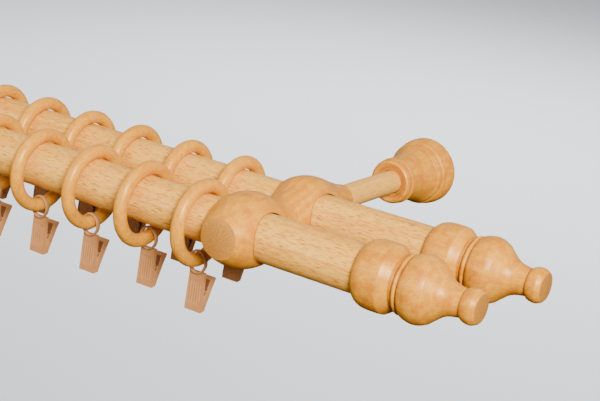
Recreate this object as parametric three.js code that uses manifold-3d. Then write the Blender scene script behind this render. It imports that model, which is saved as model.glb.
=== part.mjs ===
// Double wooden curtain rod: two rods on two wall brackets, with finials, rings and curtain clips.
// Millimetres. The wall is the plane y = 0 and the room is towards -y. +x runs along the rods, +z is up.
// The origin is on the wall, midway between the two brackets, at the height of the rods' axes.

import * as THREE from "three";
import { mergeVertices } from "three/addons/utils/BufferGeometryUtils.js";
import Module from "manifold-3d";

// Rods
const ROD_DIAMETER = 28;
const ROD_LENGTH = 1000;
const ROD_CHAMFER = 1;
const FRONT_ROD_TO_WALL = 212;
const BACK_ROD_TO_WALL = 153;
const BACK_ROD_SHIFT = 9; // the back rod stands this much further to the right
const BRACKET_SPACING = 798;

// Holders, turned about the bracket's own axis, which is square to the wall
const BALL_RADIUS = 21.7;
const FRONT_FACE_REACH = 23.6; // from the front rod's axis to the flat front face
const FRONT_FACE_RADIUS = 11.6;
const NECK_RADIUS = 12.9;
const SEAM_TO_FRONT_ROD = 34; // where the front holder meets the back holder
const BORE_RADIUS = 14.9;
const BORE_LIFT = 0.4; // the rod lies on the bottom of its bore
const BACK_BALL_RADIUS = 21;
const TAIL_REACH = 44; // from the back rod's axis to the end of the back holder
const TAIL_RADIUS = 8.7;

// Stem and wall rosette
const STEM_RADIUS = 7.5;
const STEM_IN_HOLDER = 23;
const ROSETTE_RADIUS = 22.2;
const ROSETTE_DEPTH = 50;
const ROSETTE_FLOOR = 11;
const MOUTH_RADIUS = 13.4;
const SOCKET_GAP = 0.35;

// Screws and wall plug
const HANGER_RADIUS = 3;
const HANGER_IN_WALL = 24;
const HANGER_IN_STEM = 26;
const PLUG_RADIUS = 4;
const PLUG_LENGTH = 24;
const PLUG_SINK = 2.4; // the plug's mouth lies this far below the wall's face
const LOCK_RADIUS = 2;
const JOINING_RADIUS = 2.1;
const SCREW_GAP = 0.3;

// Finials: a socket that is pushed over the end of a rod
const FINIAL_TO_BRACKET = 80;
const FINIAL_SOCKET_RADIUS = 14.4;
const FINIAL_SOCKET_DEPTH = 22;

// Rings and their places, counted from the right-hand bracket towards the left
const RING_RADIUS = 22; // to the middle of the wood
const RING_WOOD_RADIUS = 4.1;
const RING_SIDES = 16;
const FRONT_RING_PLACES = [29.3, 71, 111, 152.5, 193];
const BACK_RING_PLACES = [46, 87, 128, 168, 208, 247];
const SLIPPED_CLIP = "front_clip_2"; // this clip has slid a little way round its ring
const SLIP_ANGLE = 16;
const TOUCH_GAP = 0.3;

// Curtain clips
const EYE_HOLE = [5, 5.9]; // half its width and half its height
const EYE_WALL = 1.5;
const EYE_DEPTH = 3.2;
const EYE_DROP = 1.4; // from the middle of the ring's wood to the middle of the eye
const EYE_SHIFT = 0.4; // each eye sits this much right of the middle of its ring
const CLIP_TOP = -7.6;
const CLIP_BOTTOM = -31.4;
const CLIP_TOP_WIDTH = 10.4;
const CLIP_BOTTOM_WIDTH = 11.6;
const PIVOT_HEIGHT = -19;

const ROD_RADIUS = ROD_DIAMETER / 2;
const RING_CENTRE_Z = ROD_RADIUS + TOUCH_GAP - (RING_RADIUS - RING_WOOD_RADIUS);

const wasm = await Module();
wasm.setup();

const material = {
  rod: [0xe6c48e, 0.45, 0],
  turned: [0xdcb174, 0.42, 0],
  stem: [0xe2bf8c, 0.45, 0],
  ring: [0xdfb67c, 0.4, 0],
  clip: [0xc89a76, 0.5, 0],
  steel: [0xb4b6ba, 0.35, 1],
  plug: [0x9a9da1, 0.6, 0],
};

// ---------- solids ----------

function solid(geometry) {
  const bare = geometry.clone();
  bare.deleteAttribute("normal");
  bare.deleteAttribute("uv");
  const merged = mergeVertices(bare, 1e-4);
  const corners = merged.index.array;
  const kept = [];
  for (let i = 0; i < corners.length; i += 3) {
    const [a, b, c] = corners.slice(i, i + 3);
    if (a !== b && b !== c && c !== a) kept.push(a, b, c);
  }
  const vertProperties = merged.attributes.position.array;
  return new wasm.Manifold(
    new wasm.Mesh({ numProp: 3, vertProperties, triVerts: new Uint32Array(kept) }),
  );
}

function geometryOf(body) {
  const { vertProperties, triVerts } = body.getMesh();
  const geometry = new THREE.BufferGeometry();
  geometry.setAttribute("position", new THREE.BufferAttribute(vertProperties, 3));
  geometry.setIndex(new THREE.BufferAttribute(triVerts, 1));
  const flat = geometry.toNonIndexed();
  flat.computeVertexNormals();
  return flat;
}

function piece(name, body, look) {
  const [color, roughness, metalness] = material[look];
  const mesh = new THREE.Mesh(
    geometryOf(body),
    new THREE.MeshStandardMaterial({ color, roughness, metalness }),
  );
  mesh.name = name;
  return mesh;
}

// Turned about the y axis. The outline runs from low y to high y, as (radius, y).
function turned(outline, sides, curveSteps = 4) {
  return solid(new THREE.LatheGeometry(outline.getPoints(curveSteps), sides));
}

// Turned about the x axis instead: the outline's y becomes x.
function turnedAlongX(outline, sides, curveSteps = 4) {
  const geometry = new THREE.LatheGeometry(outline.getPoints(curveSteps), sides);
  return solid(geometry.rotateZ(-Math.PI / 2));
}

function outlineFrom(r, y) {
  return new THREE.Path().moveTo(r, y);
}

function rodAlongX(radius, length, sides, [x, y, z]) {
  const geometry = new THREE.CylinderGeometry(radius, radius, length, sides);
  return solid(geometry.rotateZ(Math.PI / 2).translate(x, y, z));
}

function rodAlongZ(radius, low, high, sides, [x, y]) {
  const geometry = new THREE.CylinderGeometry(radius, radius, high - low, sides);
  return solid(geometry.rotateX(Math.PI / 2).translate(x, y, (low + high) / 2));
}

// ---------- rods and finials ----------

function rod(name, centreX, y) {
  const half = ROD_LENGTH / 2;
  const outline = outlineFrom(0, -half)
    .lineTo(ROD_RADIUS - ROD_CHAMFER, -half)
    .lineTo(ROD_RADIUS, -half + ROD_CHAMFER)
    .lineTo(ROD_RADIUS, half - ROD_CHAMFER)
    .lineTo(ROD_RADIUS - ROD_CHAMFER, half)
    .lineTo(0, half);
  const mesh = piece(name, turnedAlongX(outline, 24), "rod");
  mesh.position.set(centreX, y, 0);
  return mesh;
}

// Drum, groove with a bead, bulb, neck and knob, with a blind socket for the rod.
function finial(name) {
  const outline = outlineFrom(0, FINIAL_SOCKET_DEPTH)
    .lineTo(FINIAL_SOCKET_RADIUS, FINIAL_SOCKET_DEPTH)
    .lineTo(FINIAL_SOCKET_RADIUS, 0)
    .lineTo(15.6, 0.4)
    .quadraticCurveTo(19.1, 2.2, 19.5, 8)
    .lineTo(19.3, 16.6)
    .quadraticCurveTo(18.2, 20.4, 15.3, 22.6)
    .lineTo(15.3, 25.2)
    .lineTo(17, 26.2)
    .lineTo(17.1, 27.8)
    .bezierCurveTo(19.4, 31.5, 20.8, 38.5, 15.9, 44)
    .bezierCurveTo(12, 48.2, 8.5, 51, 8.4, 58.8)
    .lineTo(10, 63.6)
    .lineTo(10, 67)
    .lineTo(8.2, 69.4)
    .lineTo(0, 69.4);
  return piece(name, turnedAlongX(outline, 16, 3), "turned");
}

// ---------- bracket ----------

// Both holders are drawn with the front rod's axis at y = 0 and turned about the bracket's axis.
function frontHolder() {
  const seam = SEAM_TO_FRONT_ROD - TOUCH_GAP;
  const outline = outlineFrom(0, -FRONT_FACE_REACH)
    .lineTo(FRONT_FACE_RADIUS, -FRONT_FACE_REACH)
    .lineTo(FRONT_FACE_RADIUS + 1, -FRONT_FACE_REACH + 0.8)
    .bezierCurveTo(16.8, -18, BALL_RADIUS, -10, BALL_RADIUS, 1)
    .bezierCurveTo(BALL_RADIUS, 11, 16.5, 18, NECK_RADIUS, seam)
    .lineTo(0, seam);
  const screwHole = outlineFrom(0, BORE_RADIUS - 1)
    .lineTo(JOINING_RADIUS + SCREW_GAP, BORE_RADIUS - 1)
    .lineTo(JOINING_RADIUS + SCREW_GAP, SEAM_TO_FRONT_ROD + 1)
    .lineTo(0, SEAM_TO_FRONT_ROD + 1);
  return turned(outline, 20, 5)
    .subtract(rodAlongX(BORE_RADIUS, 60, 20, [0, 0, BORE_LIFT]))
    .subtract(turned(screwHole, 10))
    .subtract(lockHole(0, BALL_RADIUS));
}

const BACK_ROD_FROM_FRONT = FRONT_ROD_TO_WALL - BACK_ROD_TO_WALL;

function backHolder() {
  const middle = BACK_ROD_FROM_FRONT;
  const end = middle + TAIL_REACH;
  const outline = outlineFrom(0, SEAM_TO_FRONT_ROD)
    .lineTo(NECK_RADIUS + 0.6, SEAM_TO_FRONT_ROD)
    .bezierCurveTo(15.5, 38, 20.6, 47, BACK_BALL_RADIUS, middle - 2)
    .bezierCurveTo(BACK_BALL_RADIUS, middle + 10, 18, middle + 16, 15, middle + 23)
    .quadraticCurveTo(10.6, middle + 33, TAIL_RADIUS, end)
    .lineTo(0, end);
  const socket = outlineFrom(0, end - STEM_IN_HOLDER)
    .lineTo(STEM_RADIUS + SOCKET_GAP, end - STEM_IN_HOLDER)
    .lineTo(STEM_RADIUS + SOCKET_GAP, end + 1)
    .lineTo(0, end + 1);
  const headRadius = 2 * JOINING_RADIUS + SCREW_GAP;
  const boreWall = middle - BORE_RADIUS;
  const screwHole = outlineFrom(0, SEAM_TO_FRONT_ROD - 1)
    .lineTo(JOINING_RADIUS + SCREW_GAP, SEAM_TO_FRONT_ROD - 1)
    .lineTo(JOINING_RADIUS + SCREW_GAP, boreWall - 3)
    .lineTo(headRadius, boreWall - 0.9)
    .lineTo(headRadius, boreWall + 4)
    .lineTo(0, boreWall + 4);
  return turned(outline, 20, 4)
    .subtract(rodAlongX(BORE_RADIUS, 60, 20, [0, middle, BORE_LIFT]))
    .subtract(turned(socket, 20))
    .subtract(turned(screwHole, 10))
    .subtract(lockHole(middle, BACK_BALL_RADIUS));
}

function lockHole(y, ballRadius) {
  const shank = rodAlongZ(LOCK_RADIUS + SCREW_GAP, -ballRadius - 2, -ROD_RADIUS + 2, 10, [0, y]);
  const head = rodAlongZ(1.7 * LOCK_RADIUS + SCREW_GAP, -ballRadius - 2, -ballRadius + 2.6, 10, [0, y]);
  return shank.add(head);
}

// Cheese-headed screw that presses up against the rod. Its foot is the head, sunk into the ball.
function lockScrew(ballRadius) {
  const foot = -ballRadius + 0.6;
  const shank = rodAlongZ(LOCK_RADIUS, foot + 0.5, -ROD_RADIUS - TOUCH_GAP - 0.1, 10, [0, 0]);
  const head = rodAlongZ(1.7 * LOCK_RADIUS, foot, foot + 1.7, 10, [0, 0]);
  const slot = solid(new THREE.BoxGeometry(8, 0.8, 1.6).translate(0, 0, foot));
  return shank.add(head).subtract(slot);
}

// Countersunk wood screw, driven from the back rod's bore into the front holder's neck.
function joiningScrew() {
  const headFace = BACK_ROD_FROM_FRONT - BORE_RADIUS - 0.3;
  const tip = BORE_RADIUS + 1.8;
  const outline = outlineFrom(0, tip)
    .lineTo(JOINING_RADIUS, tip + 4)
    .lineTo(JOINING_RADIUS, headFace - 2.4)
    .lineTo(2 * JOINING_RADIUS, headFace - 0.3)
    .lineTo(2 * JOINING_RADIUS, headFace)
    .lineTo(0, headFace);
  const slot = solid(new THREE.BoxGeometry(12, 2, 0.8).translate(0, headFace, 0));
  return turned(outline, 10).subtract(slot);
}

const STEM_START = BACK_ROD_FROM_FRONT + TAIL_REACH - STEM_IN_HOLDER + TOUCH_GAP;
const STEM_END = FRONT_ROD_TO_WALL - ROSETTE_FLOOR - TOUCH_GAP;

function stem() {
  const outline = outlineFrom(0, STEM_START)
    .lineTo(STEM_RADIUS - 0.6, STEM_START)
    .lineTo(STEM_RADIUS, STEM_START + 0.6)
    .lineTo(STEM_RADIUS, STEM_END)
    .lineTo(HANGER_RADIUS + SCREW_GAP, STEM_END)
    .lineTo(HANGER_RADIUS + SCREW_GAP, STEM_END - HANGER_IN_STEM - TOUCH_GAP)
    .lineTo(0, STEM_END - HANGER_IN_STEM - TOUCH_GAP);
  return turned(outline, 20);
}

// Blunt at the stem's end and pointed at the wall's end.
function hangerScrew() {
  const start = STEM_END - HANGER_IN_STEM;
  const tip = FRONT_ROD_TO_WALL + HANGER_IN_WALL;
  const outline = outlineFrom(0, start)
    .lineTo(HANGER_RADIUS - 0.5, start)
    .lineTo(HANGER_RADIUS, start + 0.5)
    .lineTo(HANGER_RADIUS, FRONT_ROD_TO_WALL)
    .lineTo(HANGER_RADIUS - 0.6, tip - 6)
    .lineTo(0, tip);
  return turned(outline, 12);
}

function wallPlug() {
  const mouth = FRONT_ROD_TO_WALL + PLUG_SINK;
  const end = mouth + PLUG_LENGTH;
  const bore = HANGER_RADIUS + 0.25;
  const outline = outlineFrom(bore, end)
    .lineTo(bore, mouth)
    .lineTo(PLUG_RADIUS, mouth)
    .lineTo(PLUG_RADIUS, end - 2)
    .lineTo(PLUG_RADIUS - 0.4, end)
    .lineTo(bore, end);
  return turned(outline, 12);
}

// Bell-shaped cup: a rounded base, two fine beads, a flare, two rings and a flat end round the stem.
// Drawn by distance from the wall, then turned to face the room.
function rosette() {
  const hole = HANGER_RADIUS + SCREW_GAP;
  const socket = STEM_RADIUS + SOCKET_GAP;
  const outline = outlineFrom(hole, ROSETTE_FLOOR)
    .lineTo(hole, 0)
    .lineTo(ROSETTE_RADIUS - 0.8, 0)
    .lineTo(ROSETTE_RADIUS, 1)
    .quadraticCurveTo(ROSETTE_RADIUS + 0.2, 6, 20.7, 9.8)
    .lineTo(20.9, 11.4)
    .lineTo(19.5, 13.8)
    .lineTo(19.5, 15.6)
    .bezierCurveTo(17, 21, 15, 27, 14.2, 39)
    .lineTo(15, 42.4)
    .lineTo(13.9, 45.4)
    .lineTo(14.3, 47)
    .lineTo(MOUTH_RADIUS, ROSETTE_DEPTH - 0.8)
    .lineTo(MOUTH_RADIUS - 1.2, ROSETTE_DEPTH)
    .lineTo(socket, ROSETTE_DEPTH)
    .lineTo(socket, ROSETTE_FLOOR)
    .lineTo(hole, ROSETTE_FLOOR);
  const geometry = new THREE.LatheGeometry(outline.getPoints(3), 20);
  return solid(geometry.rotateX(Math.PI).translate(0, FRONT_ROD_TO_WALL, 0));
}

function bracket(side, x) {
  const group = new THREE.Group();
  const frontLock = piece(`${side}_front_lock_screw`, lockScrew(BALL_RADIUS), "steel");
  const backLock = piece(`${side}_back_lock_screw`, lockScrew(BACK_BALL_RADIUS), "steel");
  backLock.position.y = BACK_ROD_FROM_FRONT;
  group.add(
    piece(`${side}_front_holder`, frontHolder(), "turned"),
    piece(`${side}_back_holder`, backHolder(), "turned"),
    piece(`${side}_joining_screw`, joiningScrew(), "steel"),
    frontLock,
    backLock,
    piece(`${side}_stem`, stem(), "stem"),
    piece(`${side}_hanger_screw`, hangerScrew(), "steel"),
    piece(`${side}_wall_rosette`, rosette(), "turned"),
    piece(`${side}_wall_plug`, wallPlug(), "plug"),
  );
  group.position.set(x, -FRONT_ROD_TO_WALL, 0);
  return group;
}

// ---------- rings and clips ----------

// The ring's corners stand a little outside the true circle, so that its flats touch it.
function ring() {
  const cornerRadius = RING_RADIUS / Math.cos(Math.PI / RING_SIDES);
  const geometry = new THREE.TorusGeometry(cornerRadius, RING_WOOD_RADIUS, 8, RING_SIDES);
  return solid(geometry.rotateZ(Math.PI / RING_SIDES).rotateY(Math.PI / 2));
}

// A shape drawn as (x, z), standing upright, between two depths y.
function upright(shape, front, back, curveSteps) {
  const settings = { depth: back - front, bevelEnabled: false, curveSegments: curveSteps };
  const geometry = new THREE.ExtrudeGeometry(shape, settings);
  return solid(geometry.rotateX(Math.PI / 2).translate(0, back, 0));
}

// A side view drawn as (y, z), trimmed to the clip's tapering front outline.
function clipSolid(sideView) {
  const shape = new THREE.Shape(sideView.map(([y, z]) => new THREE.Vector2(y, z)));
  const width = CLIP_BOTTOM_WIDTH + 2;
  const geometry = new THREE.ExtrudeGeometry(shape, { depth: width, bevelEnabled: false });
  const turn = new THREE.Matrix4().makeBasis(
    new THREE.Vector3(0, 1, 0),
    new THREE.Vector3(0, 0, 1),
    new THREE.Vector3(1, 0, 0),
  );
  const slab = solid(geometry.applyMatrix4(turn).translate(-width / 2, 0, 0));
  const top = CLIP_TOP_WIDTH / 2;
  const bottom = CLIP_BOTTOM_WIDTH / 2;
  const outline = new THREE.Shape()
    .moveTo(-bottom, CLIP_BOTTOM)
    .lineTo(bottom, CLIP_BOTTOM)
    .lineTo(top, CLIP_TOP - 1.2)
    .lineTo(top - 1.2, CLIP_TOP)
    .lineTo(1.2 - top, CLIP_TOP)
    .lineTo(-top, CLIP_TOP - 1.2);
  return slab.intersect(upright(outline, -4, 18));
}

// Front leg with its pivot rib, and an oval eye round the ring, in one moulding.
function clipBody() {
  const [halfWidth, halfHeight] = EYE_HOLE;
  const oval = (wall) => [0, -EYE_DROP, halfWidth + wall, halfHeight + wall, 0, 2 * Math.PI];
  const eye = new THREE.Shape().absellipse(...oval(EYE_WALL));
  eye.holes.push(new THREE.Path().absellipse(...oval(0)));
  const leg = [
    [0.2, CLIP_TOP],
    [-1.2, CLIP_BOTTOM],
    [1, CLIP_BOTTOM],
    [1.2, CLIP_BOTTOM + 4],
    [1.8, PIVOT_HEIGHT - 3.5],
    [3.4, PIVOT_HEIGHT - 0.8],
    [3.4, PIVOT_HEIGHT + 0.4],
    [2.8, PIVOT_HEIGHT + 1.4],
    [2.6, CLIP_TOP],
  ];
  return clipSolid(leg).add(upright(eye, -EYE_DEPTH / 2, EYE_DEPTH / 2, 7));
}

// Rear lever: a wedge-shaped jaw below the pivot and a finger tab that leans back above it.
function clipLever() {
  const lever = [
    [1.4, CLIP_BOTTOM],
    [3.4, CLIP_BOTTOM],
    [6.9, PIVOT_HEIGHT - 5.5],
    [12.8, PIVOT_HEIGHT + 5.8],
    [11.2, PIVOT_HEIGHT + 6.6],
    [5.6, PIVOT_HEIGHT + 1.2],
    [4.4, PIVOT_HEIGHT + 0.3],
    [3.8, PIVOT_HEIGHT - 0.8],
    [2.2, PIVOT_HEIGHT - 3.5],
    [1.6, CLIP_BOTTOM + 4],
  ];
  return clipSolid(lever);
}

// Ring, clip and lever together, at the ring's place on its rod.
function ringWithClip(row, number, x, y) {
  const group = new THREE.Group();
  const hoop = piece(`${row}_ring_${number}`, ring(), "ring");
  const body = piece(`${row}_clip_${number}`, clipBody(), "clip");
  const lever = piece(`${row}_clip_lever_${number}`, clipLever(), "clip");
  const slip = body.name === SLIPPED_CLIP ? THREE.MathUtils.degToRad(SLIP_ANGLE) : 0;
  // On sloping wood the eye rides a little higher.
  const lift = RING_WOOD_RADIUS * (1 / Math.cos(slip) - 1) + (EYE_DEPTH / 2) * Math.tan(slip);
  const clip = new THREE.Group();
  clip.add(body, lever);
  clip.position.x = EYE_SHIFT;
  clip.position.y = RING_RADIUS * Math.sin(slip);
  clip.position.z = RING_CENTRE_Z - RING_RADIUS * Math.cos(slip) + lift;
  hoop.rotation.x = slip;
  hoop.position.z = RING_CENTRE_Z;
  group.add(hoop, clip);
  group.position.set(x, y, 0);
  return group;
}

// ---------- assembly ----------

const curtainRod = new THREE.Group();
const bracketX = BRACKET_SPACING / 2;

curtainRod.add(bracket("left", -bracketX), bracket("right", bracketX));

const rows = [
  { row: "front", y: -FRONT_ROD_TO_WALL, shift: 0, places: FRONT_RING_PLACES },
  { row: "back", y: -BACK_ROD_TO_WALL, shift: BACK_ROD_SHIFT, places: BACK_RING_PLACES },
];

for (const { row, y, shift, places } of rows) {
  curtainRod.add(rod(`${row}_rod`, shift, y));
  const right = finial(`right_${row}_finial`);
  right.position.set(shift + bracketX + FINIAL_TO_BRACKET, y, 0);
  const left = finial(`left_${row}_finial`);
  left.rotation.z = Math.PI;
  left.position.set(shift - bracketX - FINIAL_TO_BRACKET, y, 0);
  curtainRod.add(right, left);
  places.forEach((place, i) => {
    curtainRod.add(ringWithClip(row, i + 1, bracketX - place, y));
  });
}

export default curtainRod;
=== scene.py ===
"""Double wooden curtain rod on two turned wall brackets, with finials, rings and curtain clips.

Turned outlines and clip shapes are written in millimetres. Objects are in metres, in the frame's
own axes: x runs along the rods, y goes into the wall and z is up.
"""

import math

import bmesh
import bpy
from mathutils import Euler, Matrix, Vector


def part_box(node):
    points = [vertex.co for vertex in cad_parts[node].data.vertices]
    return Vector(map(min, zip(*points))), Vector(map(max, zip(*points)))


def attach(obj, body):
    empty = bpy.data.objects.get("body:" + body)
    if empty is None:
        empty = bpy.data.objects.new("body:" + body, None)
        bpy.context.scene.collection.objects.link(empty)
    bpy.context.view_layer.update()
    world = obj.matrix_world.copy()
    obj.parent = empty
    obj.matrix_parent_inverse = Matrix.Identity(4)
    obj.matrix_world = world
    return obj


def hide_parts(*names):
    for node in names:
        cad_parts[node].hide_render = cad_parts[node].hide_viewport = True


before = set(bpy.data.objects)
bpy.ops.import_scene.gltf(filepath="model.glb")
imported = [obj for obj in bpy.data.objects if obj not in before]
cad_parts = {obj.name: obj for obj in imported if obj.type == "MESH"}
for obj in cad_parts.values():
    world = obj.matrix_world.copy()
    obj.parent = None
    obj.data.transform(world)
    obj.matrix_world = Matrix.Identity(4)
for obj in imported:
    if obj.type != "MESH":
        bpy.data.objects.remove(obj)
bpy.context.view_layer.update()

MM = 0.001
FIXED_BODY = "rods_and_brackets"
ROWS = ("front", "back")

# Sides of a turned piece
TURNING_SIDES = 96
STEM_SIDES = 64
PIVOT_SIDES = 32

# Each rod's middle, each bracket's place along the rods, and the rings' names
ROD_MIDDLE = {row: sum(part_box(f"{row}_rod"), Vector()) / 2 for row in ROWS}
BRACKET_X = {side: (sum(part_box(f"{side}_stem"), Vector()) / 2).x for side in ("left", "right")}
RINGS = sorted(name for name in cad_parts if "_ring_" in name)

# The camera stands in front of the rods' right ends and looks back along them.
CAMERA_PLACE = (0.81932, -0.83569, 0.24645)
CAMERA_AZIMUTH = 31.75
CAMERA_ELEVATION = 16.67
CAMERA_ROLL = 7.11
CAMERA_LENS = 85.06
CAMERA_SENSOR = 36

# The dome is pale above the horizon and dim and warm below it.
DOME_LOW, DOME_HIGH = -0.22, -0.02
DOME_BELOW = (0.11, 0.052, 0.03, 1)
DOME_ABOVE = (0.44, 0.45, 0.47, 1)

FLOOR_HEIGHT = -1.1
FLOOR_REACH = 30
FLOOR_TONES = ((0.90, 0.905, 0.92), (0.92, 0.925, 0.94))

# Where the key and the fill are aimed, then each light's place, size, power and colour
LIT_CENTRE = (0.3, -0.15, 0.0)
KEY = ((2.02, -1.66, 1.22), (0.75, 0.75), 165, (1.0, 0.985, 0.95))
FILL = ((-1.0, -2.2, 0.85), (1.2, 1.2), 18, (1.0, 0.99, 0.97))
FLOOR_WASH = ((-1.6, 4.4, 1.6), (4.5, 4.0), 240, (0.95, 0.965, 1.0))
FLOOR_WASH_AIM = (-1.6, 4.4, FLOOR_HEIGHT)


# ---------- camera, floor and light ----------

def make_camera():
    data = bpy.data.cameras.new("camera")
    data.lens = CAMERA_LENS
    data.sensor_width = CAMERA_SENSOR
    camera = bpy.data.objects.new("camera", data)
    bpy.context.scene.collection.objects.link(camera)
    turn = Euler((math.radians(90 - CAMERA_ELEVATION), 0, math.radians(CAMERA_AZIMUTH)))
    roll = Matrix.Rotation(math.radians(CAMERA_ROLL), 3, "Z")
    camera.rotation_euler = (turn.to_matrix() @ roll).to_euler()
    camera.location = CAMERA_PLACE
    bpy.context.scene.camera = camera


def area_light(name, aim, place, size, power, colour):
    data = bpy.data.lights.new(name, "AREA")
    data.shape = "RECTANGLE"
    data.size, data.size_y = size
    data.energy = power
    data.color = colour
    light = bpy.data.objects.new(name, data)
    bpy.context.scene.collection.objects.link(light)
    light.location = place
    light.rotation_euler = (Vector(aim) - Vector(place)).to_track_quat("-Z", "Y").to_euler()
    return light


def make_dome():
    world = bpy.data.worlds.new("studio")
    world.use_nodes = True
    nodes, links = world.node_tree.nodes, world.node_tree.links
    sky = nodes["Background"]
    direction = nodes.new("ShaderNodeTexCoord")
    height = nodes.new("ShaderNodeSeparateXYZ")
    dome = nodes.new("ShaderNodeMapRange")
    tint = nodes.new("ShaderNodeMix")
    tint.data_type = "RGBA"
    dome.inputs["From Min"].default_value = DOME_LOW
    dome.inputs["From Max"].default_value = DOME_HIGH
    tint.inputs[6].default_value = DOME_BELOW
    tint.inputs[7].default_value = DOME_ABOVE
    links.new(direction.outputs["Generated"], height.inputs["Vector"])
    links.new(height.outputs["Z"], dome.inputs["Value"])
    links.new(dome.outputs["Result"], tint.inputs[0])
    links.new(tint.outputs[2], sky.inputs["Color"])
    bpy.context.scene.world = world


def make_floor():
    mesh = bmesh.new()
    bmesh.ops.create_grid(mesh, x_segments=1, y_segments=1, size=FLOOR_REACH)
    bmesh.ops.translate(mesh, verts=mesh.verts, vec=(0, 0, FLOOR_HEIGHT))
    floor = as_object("floor", mesh)
    paper = Finish("floor_paper", (0, 0, 0), roughness=0.9)
    cloud = paper.noise(paper.grain((1.5, 1.5, 1.5)))
    paper.colour(paper.ramp(cloud, [(0.3, FLOOR_TONES[0]), (0.7, FLOOR_TONES[1])]))
    floor.data.materials.append(paper.material)
    # The floor is seen, but the undersides of the wood are lit by the dim, warm lower dome instead.
    floor.visible_diffuse = False
    floor.visible_glossy = False


def make_lights():
    area_light("key", LIT_CENTRE, *KEY)
    area_light("fill", LIT_CENTRE, *FILL)
    wash = area_light("floor_wash", FLOOR_WASH_AIM, *FLOOR_WASH)
    wash.visible_glossy = False


# ---------- finishes ----------

BLACK, WHITE = (0, 0, 0), (1, 1, 1)


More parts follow.
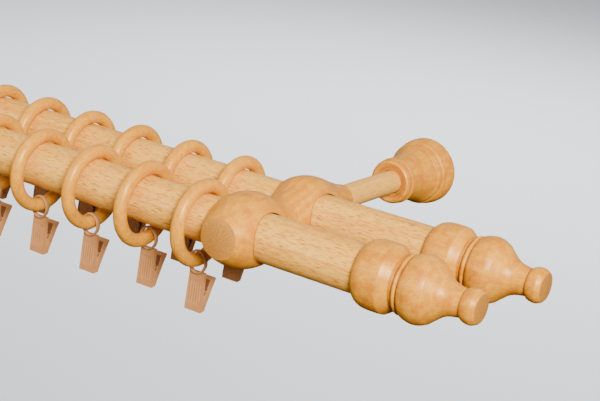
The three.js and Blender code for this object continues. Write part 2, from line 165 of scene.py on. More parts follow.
class Finish:
    """A procedural material whose pattern is in millimetres, with its grain along x."""

    def __init__(self, name, at, turn=(0, 0, 0), offset=(0, 0, 0), roughness=0.5):
        self.material = bpy.data.materials.new(name)
        self.material.use_nodes = True
        self.nodes = self.material.node_tree.nodes
        self.links = self.material.node_tree.links
        self.shader = self.nodes["Principled BSDF"]
        self.shader.inputs["Roughness"].default_value = roughness
        turn = [math.radians(angle) for angle in turn]
        self.place = self.nodes.new("ShaderNodeMapping")
        self.place.inputs["Scale"].default_value = (1 / MM, 1 / MM, 1 / MM)
        self.place.inputs["Rotation"].default_value = turn
        self.offset = offset
        centred = Euler(turn).to_matrix() @ (Vector(at) / MM)
        self.place.inputs["Location"].default_value = Vector(offset) - centred
        self.coordinates = self.nodes.new("ShaderNodeTexCoord")
        self.link(self.coordinates.outputs["Object"], self.place.inputs["Vector"])

    def link(self, source, target):
        self.links.new(source, target)

    def feed(self, node, values):
        """Links each value to its socket, or sets the socket where it is a number or a colour."""
        for socket, value in values.items():
            if isinstance(value, (int, float)):
                node.inputs[socket].default_value = value
            elif isinstance(value, tuple):
                node.inputs[socket].default_value = (*value, 1)
            else:
                self.link(value, node.inputs[socket])

    def vector_maths(self, operation, first, second=(0, 0, 0), output="Vector"):
        node = self.nodes.new("ShaderNodeVectorMath")
        node.operation = operation
        node.inputs[1].default_value = second
        self.link(first, node.inputs[0])
        return node.outputs[output]

    def grain(self, scale):
        """The pattern's own coordinates, stretched."""
        return self.vector_maths("MULTIPLY", self.place.outputs["Vector"], scale)

    def along(self, axis):
        """Where a point is along one axis of the pattern."""
        node = self.nodes.new("ShaderNodeSeparateXYZ")
        self.link(self.place.outputs["Vector"], node.inputs[0])
        return node.outputs[axis]

    def noise(self, vector, detail=2.0, roughness=0.5):
        node = self.nodes.new("ShaderNodeTexNoise")
        node.inputs["Scale"].default_value = 1.0
        node.inputs["Detail"].default_value = detail
        node.inputs["Roughness"].default_value = roughness
        self.link(vector, node.inputs["Vector"])
        return node.outputs["Fac"]

    def bands(self, vector, scale, distortion, detail_scale):
        node = self.nodes.new("ShaderNodeTexWave")
        node.wave_type = "BANDS"
        node.bands_direction = "Y"
        node.wave_profile = "SIN"
        node.inputs["Scale"].default_value = scale
        node.inputs["Distortion"].default_value = distortion
        node.inputs["Detail"].default_value = 2
        node.inputs["Detail Scale"].default_value = detail_scale
        self.link(vector, node.inputs["Vector"])
        return node.outputs["Fac"]

    def ramp(self, value, stops):
        """A colour ramp through (position, colour) stops."""
        node = self.nodes.new("ShaderNodeValToRGB")
        elements = node.color_ramp.elements
        for index, (position, colour) in enumerate(stops):
            stop = elements[index] if index < 2 else elements.new(position)
            stop.position = position
            stop.color = (*colour, 1)
        self.link(value, node.inputs["Fac"])
        return node.outputs["Color"]

    def mix(self, share, first, second):
        node = self.nodes.new("ShaderNodeMix")
        node.data_type = "RGBA"
        self.feed(node, {0: share, 6: first, 7: second})
        return node.outputs[2]

    def maths(self, operation, first, second=0.0, clamp=False):
        node = self.nodes.new("ShaderNodeMath")
        node.operation = operation
        node.use_clamp = clamp
        self.feed(node, {0: first, 1: second})
        return node.outputs[0]

    def span(self, value, low, high, to_low=0.0, to_high=1.0):
        """The value, carried from one range to another and held within it."""
        node = self.nodes.new("ShaderNodeMapRange")
        self.feed(node, {0: value, 1: low, 2: high, 3: to_low, 4: to_high})
        return node.outputs[0]

    def facing(self, direction):
        """1 where the surface faces along a direction, -1 where it faces away and 0 side on."""
        normal = self.coordinates.outputs["Normal"]
        return self.vector_maths("DOT_PRODUCT", normal, direction, "Value")

    def lines(self, reach, width, places):
        """1 at each place along the grain from the pattern's start, fading to 0 over a width."""
        stops = [(0, BLACK)]
        for place in places:
            stops += [((place - width) / reach, BLACK), (place / reach, WHITE),
                      ((place + width) / reach, BLACK)]
        distance = self.maths("ABSOLUTE", self.maths("SUBTRACT", self.along("X"), self.offset[0]))
        return self.ramp(self.maths("DIVIDE", distance, reach), stops)

    def from_rod(self, centre):
        """Distance from a line through a point that runs along the rods."""
        offset = self.vector_maths("SUBTRACT", self.coordinates.outputs["Object"], centre)
        flat = self.vector_maths("MULTIPLY", offset, (0, 1 / MM, 1 / MM))
        return self.vector_maths("LENGTH", flat, output="Value")

    def colour(self, value):
        self.link(value, self.shader.inputs["Base Color"])

    def roughness(self, value):
        self.link(value, self.shader.inputs["Roughness"])

    def bump(self, height, strength, depth):
        node = self.nodes.new("ShaderNodeBump")
        node.inputs["Strength"].default_value = strength
        node.inputs["Distance"].default_value = depth * MM
        self.link(height, node.inputs["Height"])
        self.link(node.outputs["Normal"], self.shader.inputs["Normal"])

    def set(self, **values):
        """Sets the shader's inputs, named with _ for a space."""
        for name, value in values.items():
            self.shader.inputs[name.replace("_", " ")].default_value = value


# Light and deep tones of the wood
PALE_ROD = ((0.86, 0.44, 0.070), (0.76, 0.32, 0.034))
WARM_TURNED = ((0.80, 0.355, 0.024), (0.66, 0.24, 0.010))
PALE_STEM = ((0.82, 0.42, 0.080), (0.74, 0.34, 0.050))
WARM_RING = ((0.81, 0.37, 0.030), (0.69, 0.265, 0.014))

# How much of the deep tone's red, green and blue is left in a fleck and in the painted shade of
# grooves and bore edges, in a stain and in the cut ends
FLECK_AND_SHADE_SHARE = (0.55, 0.42, 0.36)
STAIN_SHARE = (0.78, 0.56, 0.42)
END_DARK, END_DARK_BLUE = (0.45, 0.50), 0.006
END_PALE, END_PALE_BLUE = (0.86, 0.98), 0.030

# How fine each part of the wood's figure is along the grain, across it and through it
GROWTH_GRAIN = (0.10, 1, 0.45)
FIBRE_GRAIN = (0.06, 2.6, 2.6)
STREAK_GRAIN = (0.02, 0.32, 0.32)
CLOUD_GRAIN = (0.012, 0.06, 0.06)
FLECK_GRAIN = (0.22, 2.5, 2.5)
LATHE_GRAIN = (1.4, 0.07, 0.07)
MOTTLE_GRAIN = (0.16, 0.11, 0.11)
STIPPLE_GRAIN = (0.6, 1.7, 1.7)

SEED_STEP = (37.0, 11.3, 5.7)  # how far apart two pieces of wood are cut from the same pattern
BORE_PAINTED_SHADE = (14.5, 15.4)  # a bore's painted shade fades out between these distances from its rod


def deepened(tone, share):
    return tuple(channel * part for channel, part in zip(tone, share))


def beech(name, at, turn, tones, seed, ends=None, layers=1.0, flecks=1.0, marks=0.0,
          groove_shade=None, bore=None):
    """Satin-lacquered beech: growth layers, fine fibre, streaks and short dark flecks.

    Ends is the direction that cut ends face, marks the strength of the lathe marks, groove_shade
    where painted shade darkens the turned grooves, and bore the middle of a rod's bore, whose edge
    is darkened with painted shade.
    """
    wood = Finish(name, at, turn, tuple(seed * step for step in SEED_STEP))
    light, deep = tones
    dark = deepened(deep, FLECK_AND_SHADE_SHARE)
    growth = wood.bands(wood.grain(GROWTH_GRAIN), 0.075, 9.0, 0.4)
    fibre = wood.noise(wood.grain(FIBRE_GRAIN), detail=3, roughness=0.6)
    streak = wood.noise(wood.grain(STREAK_GRAIN), detail=3, roughness=0.55)
    cloud = wood.noise(wood.grain(CLOUD_GRAIN), detail=2)
    fleck = wood.span(wood.noise(wood.grain(FLECK_GRAIN), detail=1, roughness=0.4), 0.56, 0.63)

    tone = wood.maths("MULTIPLY", wood.span(growth, 0.1, 0.95), 0.36 * layers)
    tone = wood.maths("ADD", tone, wood.span(fibre, 0.3, 0.7, -0.14, 0.24))
    tone = wood.maths("ADD", tone, wood.span(streak, 0.36, 0.64, -0.25, 0.60))
    tone = wood.maths("ADD", tone, wood.span(cloud, 0.3, 0.7, -0.15, 0.3), clamp=True)
    colour = wood.mix(tone, light, deep)
    colour = wood.mix(wood.maths("MULTIPLY", fleck, 0.8 * flecks), colour, dark)
    height = wood.maths("SUBTRACT", wood.maths("MULTIPLY", fibre, 0.5), fleck)
    rough = wood.span(fibre, 0.3, 0.7, 0.34, 0.44)
    if marks:
        lathe = wood.noise(wood.grain(LATHE_GRAIN), detail=3, roughness=0.7)
        mottle = wood.noise(wood.grain(MOTTLE_GRAIN), detail=4, roughness=0.62)
        stain = deepened(deep, STAIN_SHARE)
        colour = wood.mix(wood.span(lathe, 0.44, 0.68, 0, 0.60 * marks), colour, deep)
        colour = wood.mix(wood.span(mottle, 0.47, 0.68, 0, 0.75 * marks), colour, stain)
        height = wood.maths("ADD", height, wood.maths("MULTIPLY", lathe, 2.5 * marks))
    if ends:
        cut = wood.span(wood.maths("ABSOLUTE", wood.facing(ends)), 0.90, 0.985)
        stipple = wood.noise(wood.grain(STIPPLE_GRAIN), detail=3, roughness=0.75)
        end_grain = wood.ramp(stipple, [
            (0.38, (*deepened(deep[:2], END_DARK), deep[2] + END_DARK_BLUE)),
            (0.58, (*deepened(deep[:2], END_PALE), deep[2] + END_PALE_BLUE)),
        ])
        colour = wood.mix(cut, colour, end_grain)
        rough = wood.maths("ADD", rough, wood.maths("MULTIPLY", cut, 0.15))
    # Painted shade: the turned grooves are darkened to stand in for the shade that gathers in them.
    if groove_shade:
        colour = wood.mix(wood.maths("MULTIPLY", wood.lines(**groove_shade), 0.75), colour, dark)
    # Painted shade: the wood round the rod's bore is darkened to stand in for the shade where the
    # rod goes in.
    if bore:
        colour = wood.mix(wood.span(wood.from_rod(bore), *BORE_PAINTED_SHADE, 0.85, 0), colour, dark)
    wood.colour(colour)
    wood.roughness(rough)
    wood.bump(height, 0.25, 0.06)
    wood.set(Specular_IOR_Level=0.5, Specular_Tint=(1.0, 0.72, 0.40, 1), Coat_Weight=0.10,
             Coat_Roughness=0.24, Coat_Tint=(1.0, 0.95, 0.85, 1), Subsurface_Weight=0.06,
             Subsurface_Radius=(1.0, 0.45, 0.15), Subsurface_Scale=0.002)
    return wood.material


CLIP_TONES = ((0.43, 0.185, 0.060), (0.50, 0.225, 0.078))
CLIP_SPECK = (0.33, 0.13, 0.045)
# Colour of the painted shade inside the jaws
CLIP_PAINTED_SHADE = (0.10, 0.030, 0.010)
PAINTED_SHADE_DEPTH = (2.7, 3.1)  # the painted shade inside the jaws begins this far behind the middle of the eye


def moulded(name, at):
    """Pinkish beige moulded plastic, slightly mottled, with painted shade on the insides of its
    jaws.
    """
    plastic = Finish(name, at)
    mottle = plastic.noise(plastic.grain((0.25, 0.25, 0.12)), detail=3)
    speck = plastic.noise(plastic.grain((3, 3, 3)), detail=2)
    colour = plastic.ramp(mottle, [(0.3, CLIP_TONES[0]), (0.7, CLIP_TONES[1])])
    colour = plastic.mix(plastic.span(speck, 0.62, 0.8, 0, 0.3), colour, CLIP_SPECK)
    # Painted shade: surfaces inside the jaws that face the wall are darkened to stand in for their
    # shade.
    painted_jaw_shade = plastic.maths("MULTIPLY", plastic.span(plastic.facing((0, -1, 0)), 0.5, 0.8, 0, 0.85),
                           plastic.span(plastic.along("Y"), *PAINTED_SHADE_DEPTH))
    plastic.colour(plastic.mix(painted_jaw_shade, colour, CLIP_PAINTED_SHADE))
    plastic.roughness(plastic.span(mottle, 0.3, 0.7, 0.40, 0.54))
    plastic.bump(speck, 0.15, 0.03)
    plastic.set(Specular_Tint=(1.0, 0.78, 0.55, 1), Subsurface_Weight=0.1,
                Subsurface_Radius=(1.0, 0.5, 0.3), Subsurface_Scale=0.001)
    return plastic.material


def zinc_plate():
    """Brushed zinc plate for the screws and the clips' springs."""
    steel = Finish("zinc_plate", (0, 0, 0))
    brushing = steel.noise(steel.grain((0.4, 0.4, 9)), detail=3)
    cloud = steel.noise(steel.grain((0.3, 0.3, 0.3)), detail=2)
    steel.colour(steel.ramp(cloud, [(0.3, (0.52, 0.53, 0.55)), (0.7, (0.66, 0.67, 0.68))]))
    steel.roughness(steel.span(brushing, 0.3, 0.7, 0.24, 0.42))
    steel.bump(brushing, 0.2, 0.01)
    steel.set(Metallic=1.0)
    return steel.material


def plug_nylon():
    """Grey nylon for the wall plugs."""
    nylon = Finish("plug_nylon", (0, 0, 0))
    cloud = nylon.noise(nylon.grain((0.5, 0.5, 0.5)), detail=3)
    nylon.colour(nylon.ramp(cloud, [(0.3, (0.30, 0.31, 0.32)), (0.7, (0.36, 0.37, 0.38))]))
    nylon.roughness(nylon.span(cloud, 0.3, 0.7, 0.5, 0.62))
    nylon.bump(cloud, 0.2, 0.02)
    return nylon.material


# ---------- making pieces ----------

CURVE_STEPS = 4
SHARP_ANGLE = 50


def flowing(points):
    """Points on a smooth curve through the given ones."""
    points = [Vector(point) for point in points]
    reach = [points[0], *points, points[-1]]
    curve = []
    for a, b, c, d in zip(reach, reach[1:], reach[2:], reach[3:]):
        for step in range(CURVE_STEPS):
            t = step / CURVE_STEPS
            bend = 2 * a - 5 * b + 4 * c - d
            twist = 3 * b - a - 3 * c + d
            curve.append(b + ((c - a) * t + bend * t * t + twist * t**3) / 2)
    return [*curve, points[-1]]


def turned(runs, axis, at, sides=TURNING_SIDES):
    """Spins an outline of (distance, radius) points about an axis through a point.

    A run of two points is straight, a longer one is a smooth curve, and runs meet at crisp edges.
    """
    mesh = bmesh.new()
    outline = []
    for run in runs:
        outline += flowing(run) if len(run) > 2 else [Vector(point) for point in run]
    corners = [mesh.verts.new((radius * MM, 0, distance * MM)) for distance, radius in outline]
    edges = [mesh.edges.new(pair) for pair in zip(corners, corners[1:])]
    bmesh.ops.spin(mesh, geom=corners + edges, cent=(0, 0, 0), axis=(0, 0, 1), dvec=(0, 0, 0),
                   angle=math.tau, steps=sides, use_merge=True)
    tidy(mesh)
    stand = Vector(axis).to_track_quat("Z", "X").to_matrix().to_4x4()
    bmesh.ops.transform(mesh, matrix=Matrix.Translation(at) @ stand, verts=mesh.verts)
    return mesh


def tidy(mesh):
    """Closes seams and poles and turns every face outwards."""
    bmesh.ops.remove_doubles(mesh, verts=mesh.verts, dist=1e-6)
    bmesh.ops.dissolve_degenerate(mesh, edges=mesh.edges, dist=1e-7)
    bmesh.ops.recalc_face_normals(mesh, faces=mesh.faces)


def as_object(name, mesh):
    data = bpy.data.meshes.new(name)
    mesh.to_mesh(data)
    mesh.free()
    shape = bpy.data.objects.new(name, data)
    bpy.context.scene.collection.objects.link(shape)
    return shape


def combine(shape, tool_mesh, operation):
    """Cuts a shape with a tool, or joins the tool to it, and keeps the result as its own mesh."""
    tool = as_object("tool", tool_mesh)
    step = shape.modifiers.new("combine", "BOOLEAN")
    step.operation = operation
    step.solver = "EXACT"
    step.object = tool
    result = shape.evaluated_get(bpy.context.evaluated_depsgraph_get())
    made = bpy.data.meshes.new_from_object(result)
    shape.modifiers.clear()
    joined = bmesh.new()
    joined.from_mesh(made)
    tidy(joined)
    joined.to_mesh(made)
    joined.free()
    shape.data = made
    bpy.data.objects.remove(tool)


def soften(shape, width, segments=2, angle=35):
    """Rounds a shape's crisp edges."""
    bevel = shape.modifiers.new("soften", "BEVEL")
    bevel.width = width * MM
    bevel.segments = segments
    bevel.limit_method = "ANGLE"
    bevel.angle_limit = math.radians(angle)


def deliver(shape, material, slot, body, *nodes):
    """Gives a finished shape its surface and the body it rides on, and hides the nodes it stands
    for.
    """
    shape.data.materials.clear()
    shape.data.materials.append(material)
    shape.data.shade_smooth()
    shape.data.set_sharp_from_angle(angle=math.radians(SHARP_ANGLE))
    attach(shape, body)
    if nodes:
        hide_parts(*nodes)


# ---------- rods and finials ----------

ROD_END_RADIUS = 13
ROD_ROUNDING = [(0.1, 13.5), (0.4, 13.85), (1, 14)]  # distance from the rod's end, and radius
ROD_SEED = 3

FINIAL_RUNS = [
    [(22, 0), (22, 14.4)],
    [(0, 14.4), (0, 15.2)],
    [(0.4, 16.0), (1.2, 17.0), (2.4, 17.9), (4, 18.6), (6, 19.1), (9, 19.35), (12, 19.4),
     (15, 19.3), (17.2, 19.1)],
    [(17.4, 18.95), (19, 17.9), (21, 16.4), (22.3, 15.5)],
    [(22.6, 14.8), (24.6, 14.7)],
    [(24.9, 15.5), (25.5, 16.4), (26.2, 16.8), (26.9, 16.6), (27.4, 16.0)],
    [(27.6, 15.6), (28.2, 15.7)],
    [(28.4, 16.6), (28.9, 17.3), (30, 17.95), (32, 18.5), (34, 18.9), (36, 18.95), (38, 18.6),
     (40, 17.9), (42.2, 16.8)],
    [(42.5, 16.5), (44, 15.2), (46, 13.5), (48, 11.8), (50, 10.4), (52, 9.4), (54, 8.75),
     (56, 8.35), (58, 8.05), (59.4, 7.9)],
    [(59.6, 7.8), (60.1, 8.0)],
    [(60.3, 8.4), (61, 9.0), (62.5, 9.6), (64.4, 9.95), (66.2, 9.9)],
    [(66.5, 9.75), (68.6, 8.8)],
    [(69.3, 8.1), (69.3, 0)],
]
# Places along the finial where its grooves are darkened with painted shade
FINIAL_GROOVE_SHADE = {"reach": 70, "width": 0.8, "places": (0.2, 22.9, 24.2, 27.9, 59.9)}
FINIAL_EDGE = 0.12
FINIAL_SEED = 11


def make_rods():
    for index, row in enumerate(ROWS):
        low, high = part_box(f"{row}_rod")
        half = (high.x - low.x) / 2 / MM
        mesh = turned([
            [(-half, 0), (-half, ROD_END_RADIUS)],
            [(-half + inset, radius) for inset, radius in ROD_ROUNDING],
            [(half - inset, radius) for inset, radius in reversed(ROD_ROUNDING)],
            [(half, ROD_END_RADIUS), (half, 0)],
        ], (1, 0, 0), ROD_MIDDLE[row])
        wood = beech(f"{row}_rod_beech", ROD_MIDDLE[row], (25 + 40 * index, 0, 0), PALE_ROD,
                     ROD_SEED + 5 * index, (1, 0, 0), layers=0.5, flecks=1.0)
        deliver(as_object(f"{row}_dowel", mesh), wood, "rod_beech", FIXED_BODY, f"{row}_rod")


def make_finials():
    for side, way in (("right", 1), ("left", -1)):
        for index, row in enumerate(ROWS):
            node = f"{side}_{row}_finial"
            low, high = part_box(node)
            start = Vector((low.x if way > 0 else high.x, ROD_MIDDLE[row].y, 0))
            wood = beech(f"{node}_beech", start, (70 * index + 20, 0, 0), WARM_TURNED,
                         FINIAL_SEED + 3 * index + way, (1, 0, 0), layers=0.6, flecks=0.6,
                         marks=1.0, groove_shade=FINIAL_GROOVE_SHADE)
            piece = as_object(f"{node}_turning", turned(FINIAL_RUNS, (way, 0, 0), start))
            soften(piece, FINIAL_EDGE)
            deliver(piece, wood, "turned_beech", node, node)


# ---------- brackets ----------

# The holders' outlines run from the front rod's axis towards the wall.
FRONT_HOLDER_RUNS = [
    [(-23.6, 0), (-23.6, 11.7)],
    [(-23.35, 12.1), (-22.4, 12.75), (-20, 14.4), (-16, 16.8), (-12, 18.8), (-8, 20.3),
     (-4, 21.3), (0, 21.75), (4, 21.8), (8, 21.3), (12, 20.3), (16, 18.8), (20, 16.8), (24, 15.0),
     (28, 13.75), (31.5, 13.05), (33.95, 12.85)],
    [(33.95, 12.8), (33.95, 0)],
]
BACK_HOLDER_RUNS = [
    [(34, 0), (34, 12.8)],
    [(34, 12.85), (36, 13.1), (38, 14.0), (42, 15.15), (46, 16.4), (50, 18.3), (54, 20.1),
     (57, 20.8), (60, 21.0), (63, 20.9), (66, 20.5), (70, 19.6), (74, 18.3), (78, 16.8),
     (82, 15.1), (86, 13.6), (90, 12.3), (94, 10.9), (98, 9.7), (102, 8.8), (103, 8.65)],
    [(103, 8.3), (103, 0)],
]
HOLDER_EDGE = 0.35
HOLDER_SEED = 21
BORE_RUNS = [[(-60, 0), (-60, 14.4)], [(60, 14.4), (60, 0)]]
BORE_LIFT = 0.3  # the rod lies on the bottom of its bore
STEM_SOCKET_RUNS = [[(80, 0), (80, 7.85)], [(120, 7.85), (120, 0)]]

# The rosette's outline runs from the wall into the room.
ROSETTE_RUNS = [
    [(0, 3.3), (0, 21.6)],
    [(0.15, 21.9), (0.6, 22.1), (2, 22.15), (4, 22.15), (6, 21.95), (8, 21.5), (9.3, 21.0)],
    [(9.6, 20.3), (10.2, 20.2)],
    [(10.4, 20.8), (11, 21.0), (12, 20.8), (12.8, 20.4), (13.3, 20.0)],
    [(13.6, 19.1), (14.4, 18.9)],
    [(14.7, 19.4), (15.6, 19.4), (16.8, 19.0), (18.5, 18.4)],
    [(18.8, 17.85), (19.4, 17.7)],
    [(19.6, 17.95), (20.4, 17.7), (22, 17.15), (25, 16.3), (29, 15.4), (33, 14.75),
     (37, 14.35), (40, 14.2)],
    [(40.3, 13.9), (40.8, 13.9)],
    [(41, 14.4), (41.8, 14.95), (42.8, 15.1), (43.8, 14.9), (44.7, 14.4)],
    [(45, 13.6), (45.7, 13.5)],
    [(45.9, 14.2), (46.6, 14.6), (47.6, 14.5), (48.6, 14.1), (49.4, 13.5), (49.9, 12.8)],
    [(50, 12.3), (48.9, 10.4), (48.2, 8.4)],
    [(47.8, 7.9), (11, 7.9)],
    [(11, 3.3), (0, 3.3)],
]
# Places along the rosette where its grooves are darkened with painted shade
ROSETTE_GROOVE_SHADE = {"reach": 50.5, "width": 0.8,
                   "places": (9.9, 14.0, 19.1, 40.5, 45.3, 47.6, 48.4)}
ROSETTE_EDGE = 0.1
ROSETTE_SEED = 41

STEM_RADIUS = 7.5
STEM_END_RADIUS = 6.9
STEM_CHAMFER = 0.6
STEM_EDGE = 0.15
STEM_SEED = 51
PILOT_RADIUS = 3.3
PILOT_DEPTH = 26.3  # the hole in the stem that the hanger screw goes into


def make_holders(side, side_index, front, back):
    plans = (
        ("front_holder", FRONT_HOLDER_RUNS, front, 55, 0.8),
        ("back_holder", BACK_HOLDER_RUNS, back, 165, 2.0),
    )
    for index, (part, runs, rod, turn, layers) in enumerate(plans):
        node = f"{side}_{part}"
        piece = as_object(f"{node}_turning", turned(runs, (0, 1, 0), front))
        bore_middle = rod + Vector((0, 0, BORE_LIFT)) * MM
        combine(piece, turned(BORE_RUNS, (1, 0, 0), bore_middle), "DIFFERENCE")
        if part == "back_holder":
            combine(piece, turned(STEM_SOCKET_RUNS, (0, 1, 0), front), "DIFFERENCE")
        wood = beech(f"{node}_beech", rod, (0, turn, -90), WARM_TURNED,
                     HOLDER_SEED + 4 * index + 9 * side_index, (0, 1, 0), layers=layers,
                     flecks=0.5, marks=0.7, bore=rod)
        soften(piece, HOLDER_EDGE, 3, 45)
        deliver(piece, wood, "turned_beech", FIXED_BODY, node)


def make_rosette(side, side_index, wall):
    piece = as_object(f"{side}_rosette_turning", turned(ROSETTE_RUNS, (0, -1, 0), wall))
    soften(piece, ROSETTE_EDGE)
    wood = beech(f"{side}_rosette_beech", wall, (0, 80, -90), WARM_TURNED,
                 ROSETTE_SEED + side_index, (0, 1, 0), layers=0.6, flecks=0.7, marks=0.9,
                 groove_shade=ROSETTE_GROOVE_SHADE)
    deliver(piece, wood, "turned_beech", FIXED_BODY, f"{side}_wall_rosette")


def make_stem(side, side_index, front):
    low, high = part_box(f"{side}_stem")
    start, end = (low.y - front.y) / MM, (high.y - front.y) / MM
    mesh = turned([
        [(start, 0), (start, STEM_END_RADIUS)],
        [(start + STEM_CHAMFER, STEM_RADIUS), (end, STEM_RADIUS)],
        [(end, PILOT_RADIUS), (end - PILOT_DEPTH, PILOT_RADIUS)],
        [(end - PILOT_DEPTH, PILOT_RADIUS), (end - PILOT_DEPTH, 0)],
    ], (0, 1, 0), front, STEM_SIDES)
    piece = as_object(f"{side}_stem_dowel", mesh)
    soften(piece, STEM_EDGE)
    wood = beech(f"{side}_stem_beech", front, (0, 35, -90), PALE_STEM, STEM_SEED + side_index,
                 layers=0.4, flecks=0.5)
    deliver(piece, wood, "stem_beech", FIXED_BODY, f"{side}_stem")


def make_brackets():
    for side_index, side in enumerate(("left", "right")):
        front, back = (Vector((BRACKET_X[side], ROD_MIDDLE[row].y, 0)) for row in ROWS)
        make_holders(side, side_index, front, back)
        make_rosette(side, side_index, Vector((BRACKET_X[side], 0, 0)))
        make_stem(side, side_index, front)


# ---------- rings and clips ----------

# Clip shapes are drawn round the middle of the ring's wood, where the eye hangs.
RING_RADIUS = 22.0
RING_WOOD_RADIUS = 4.1
RING_WOOD_SIDES = 28
RING_SEED = 61
EYE_HOLE = (5.0, 5.9)  # half its width and half its height
EYE_WALL = 1.5
EYE_DEPTH = 3.2
EYE_DROP = 1.4  # from the middle of the ring's wood to the middle of the eye
EYE_SPIN_RADIUS = 6
EYE_SIDES = 64
EYE_WALL_SIDES = 16

CLIP_TOP = -7.6
CLIP_BOTTOM = -31.4
CLIP_TOP_WIDTH = 10.4
CLIP_BOTTOM_WIDTH = 11.6
PLATE_COLUMNS, PLATE_ROWS = 44, 40
PLATE_LEAN = (-0.9, 1.1)  # the plate's front at the foot, and how far back it leans at the head
PLATE_BACK = (1.2, 1.3)  # the same for its back
SMOOTH_HEAD = 5.2
SMOOTH_FOOT = 4.2
SMOOTH_SIDE = 0.84  # the flutes stop at this share of half the width
FLUTE_DEPTH = 0.34
FLUTE_WAVES = 6.5
FLUTE_FADE, FLUTE_SIDE_FADE = 0.8, 0.05

PIVOT = (3.8, -18.4)
PIVOT_HOLE_RADIUS = 1.15
PIVOT_HOLE_REACH = 9
RIB_WIDTH, LEVER_WIDTH = 0.86, 0.98  # shares of the clip's width
RIB_OUTLINE = [(1.2, -16.6), (1.0, -23.6), (2.0, -22.0), (3.4, -19.9), (3.5, -18.6), (2.9, -17.2)]
LEVER_OUTLINE = [
    (1.4, CLIP_BOTTOM), (3.4, CLIP_BOTTOM), (4.2, -29.4), (5.6, -26.6), (7.1, -23.6),
    (8.7, -20.4), (10.5, -16.9), (12.8, -13.2), (12.5, -12.5), (7.9, -12.6), (7.1, -13.3),
    (6.2, -15.4), (5.3, -17.2), (4.5, -18.6), (3.9, -19.8), (2.4, -22.4), (1.7, -26.0),
]
SPRING_RUNS = [[(-4.2, 0), (-4.2, 0.6)], [(-4.0, 0.8), (4.0, 0.8)], [(4.2, 0.6), (4.2, 0)]]
BODY_EDGE, LEVER_EDGE = 0.22, 0.3


def held(share):
    return min(max(share, 0), 1)


def new_corners(geometry):
    return [part for part in geometry if isinstance(part, bmesh.types.BMVert)]


def ring_mesh():
    """A round ring about the x axis."""
    mesh = bmesh.new()
    section = bmesh.ops.create_circle(mesh, segments=RING_WOOD_SIDES,
                                      radius=RING_WOOD_RADIUS * MM)["verts"]
    bmesh.ops.translate(mesh, verts=section, vec=(0, RING_RADIUS * MM, 0))
    bmesh.ops.spin(mesh, geom=section + list(mesh.edges), cent=(0, 0, 0), axis=(1, 0, 0),
                   dvec=(0, 0, 0), angle=math.tau, steps=TURNING_SIDES, use_merge=True)
    tidy(mesh)
    return mesh


def clip_width(z):
    share = held((CLIP_TOP - z) / (CLIP_TOP - CLIP_BOTTOM))
    return CLIP_TOP_WIDTH + (CLIP_BOTTOM_WIDTH - CLIP_TOP_WIDTH) * share


def plate_mesh():
    """The clip's front leg, fluted between a smooth head and a smooth foot, then thickened."""
    mesh = bmesh.new()
    bmesh.ops.create_grid(mesh, x_segments=PLATE_COLUMNS, y_segments=PLATE_ROWS, size=0.5)
    for corner in mesh.verts:
        across, up = corner.co.x * 2, corner.co.y + 0.5
        z = CLIP_BOTTOM + (CLIP_TOP - CLIP_BOTTOM) * up
        head = held((CLIP_TOP - SMOOTH_HEAD - z) / FLUTE_FADE)
        foot = held((z - CLIP_BOTTOM - SMOOTH_FOOT) / FLUTE_FADE)
        side = held((SMOOTH_SIDE - abs(across)) / FLUTE_SIDE_FADE)
        flute = 0.5 - 0.5 * math.cos(across * math.pi * FLUTE_WAVES)
        y = PLATE_LEAN[0] + PLATE_LEAN[1] * up + FLUTE_DEPTH * flute * head * foot * side
        corner.co = Vector((across * clip_width(z) / 2, y, z)) * MM
    back = bmesh.ops.extrude_face_region(mesh, geom=list(mesh.faces))["geom"]
    for corner in new_corners(back):
        up = (corner.co.z / MM - CLIP_BOTTOM) / (CLIP_TOP - CLIP_BOTTOM)
        corner.co.y = (PLATE_BACK[0] + PLATE_BACK[1] * up) * MM
    tidy(mesh)
    return mesh


def eye_mesh():
    """An oval band with a rounded section, spun round and then drawn out to the oval."""
    mesh = bmesh.new()
    section = bmesh.ops.create_circle(mesh, segments=EYE_WALL_SIDES, radius=1)["verts"]
    for corner in section:
        corner.co = Vector((corner.co.x * EYE_WALL / 2 + EYE_SPIN_RADIUS,
                            corner.co.y * EYE_DEPTH / 2, 0))
    bmesh.ops.spin(mesh, geom=section + list(mesh.edges), cent=(0, 0, 0), axis=(0, 1, 0),
                   dvec=(0, 0, 0), angle=math.tau, steps=EYE_SIDES, use_merge=True)
    tidy(mesh)
    for corner in mesh.verts:
        radius = math.hypot(corner.co.x, corner.co.z)
        wall = radius - EYE_SPIN_RADIUS
        direction = Vector((corner.co.x, 0, corner.co.z)) / radius
        corner.co.x = direction.x * (EYE_HOLE[0] + EYE_WALL / 2 + wall)
        corner.co.z = direction.z * (EYE_HOLE[1] + EYE_WALL / 2 + wall) - EYE_DROP
        corner.co *= MM
    return mesh


def side_profile(points, width):
    """A side view of (y, z) points, as wide as a share of the clip at each height."""
    mesh = bmesh.new()
    face = mesh.faces.new([mesh.verts.new((-0.5, y, z)) for y, z in points])
    made = bmesh.ops.extrude_face_region(mesh, geom=[face])["geom"]
    bmesh.ops.translate(mesh, verts=new_corners(made), vec=(1, 0, 0))
    for corner in mesh.verts:
        corner.co.x *= clip_width(corner.co.z) * width
        corner.co *= MM
    tidy(mesh)
    return mesh


def at_pivot(runs):
    """A small turned shape across the clip, at the lever's pivot."""
    return turned(runs, (1, 0, 0), Vector((0, *PIVOT)) * MM, PIVOT_SIDES)


def pivot_hole():
    reach = PIVOT_HOLE_REACH
    return at_pivot([[(-reach, 0), (-reach, PIVOT_HOLE_RADIUS)],
                     [(reach, PIVOT_HOLE_RADIUS), (reach, 0)]])


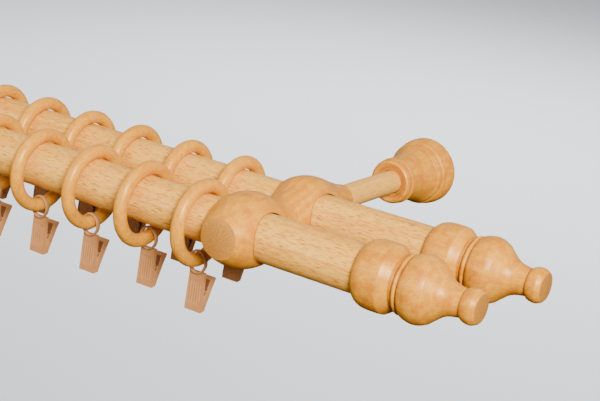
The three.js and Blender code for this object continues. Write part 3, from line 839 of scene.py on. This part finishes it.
def clip_shapes():
    """The moulded body, the lever and the rolled spring of one clip."""
    body = as_object("clip_body_pattern", plate_mesh())
    combine(body, eye_mesh(), "UNION")
    combine(body, side_profile(RIB_OUTLINE, RIB_WIDTH), "UNION")
    combine(body, pivot_hole(), "DIFFERENCE")
    lever = as_object("clip_lever_pattern", side_profile(LEVER_OUTLINE, LEVER_WIDTH))
    combine(lever, pivot_hole(), "DIFFERENCE")
    spring = as_object("clip_spring_pattern", at_pivot(SPRING_RUNS))
    return body, lever, spring


def copy_of(pattern, name, place):
    data = pattern.data.copy()
    data.transform(Matrix.Translation(place))
    shape = bpy.data.objects.new(name, data)
    bpy.context.scene.collection.objects.link(shape)
    return shape


def make_rings(steel):
    body_pattern, lever_pattern, spring_pattern = clip_shapes()
    hoop_pattern = as_object("ring_pattern", ring_mesh())
    for index, ring in enumerate(RINGS):
        row, number = ring.split("_ring_")
        clip, lever = f"{row}_clip_{number}", f"{row}_clip_lever_{number}"
        centre = sum(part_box(ring), Vector()) / 2
        hoop = copy_of(hoop_pattern, f"{ring}_hoop", centre)
        wood = beech(f"{ring}_beech", centre, (40 + 67 * index, 0, -90), WARM_RING,
                     RING_SEED + 2 * index, layers=1.0, flecks=0.7, marks=0.35)
        deliver(hoop, wood, "ring_beech", ring, ring)

        low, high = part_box(clip)
        place = Vector(((low.x + high.x) / 2, low.y + EYE_DEPTH / 2 * MM,
                        low.z - CLIP_BOTTOM * MM))
        plastic = moulded(f"{clip}_plastic", place)
        body = copy_of(body_pattern, f"{clip}_moulding", place)
        soften(body, BODY_EDGE, 2, 50)
        deliver(body, plastic, "clip_plastic", clip, clip)
        jaw = copy_of(lever_pattern, f"{lever}_moulding", place)
        soften(jaw, LEVER_EDGE, 2, 40)
        deliver(jaw, plastic, "clip_plastic", lever, lever)
        spring = copy_of(spring_pattern, f"{clip}_spring", place)
        deliver(spring, steel, "zinc_steel", clip)
    for pattern in (body_pattern, lever_pattern, spring_pattern, hoop_pattern):
        bpy.data.objects.remove(pattern)


def finish_fixings(steel, nylon):
    """The screws and wall plugs keep their own shapes."""
    for name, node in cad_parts.items():
        if name.endswith(("_screw", "_plug")):
            node.data.materials.clear()
            node.data.materials.append(nylon if name.endswith("_plug") else steel)


make_camera()
make_dome()
make_floor()
make_lights()
make_rods()
make_finials()
make_brackets()
zinc = zinc_plate()
make_rings(zinc)
finish_fixings(zinc, plug_nylon())
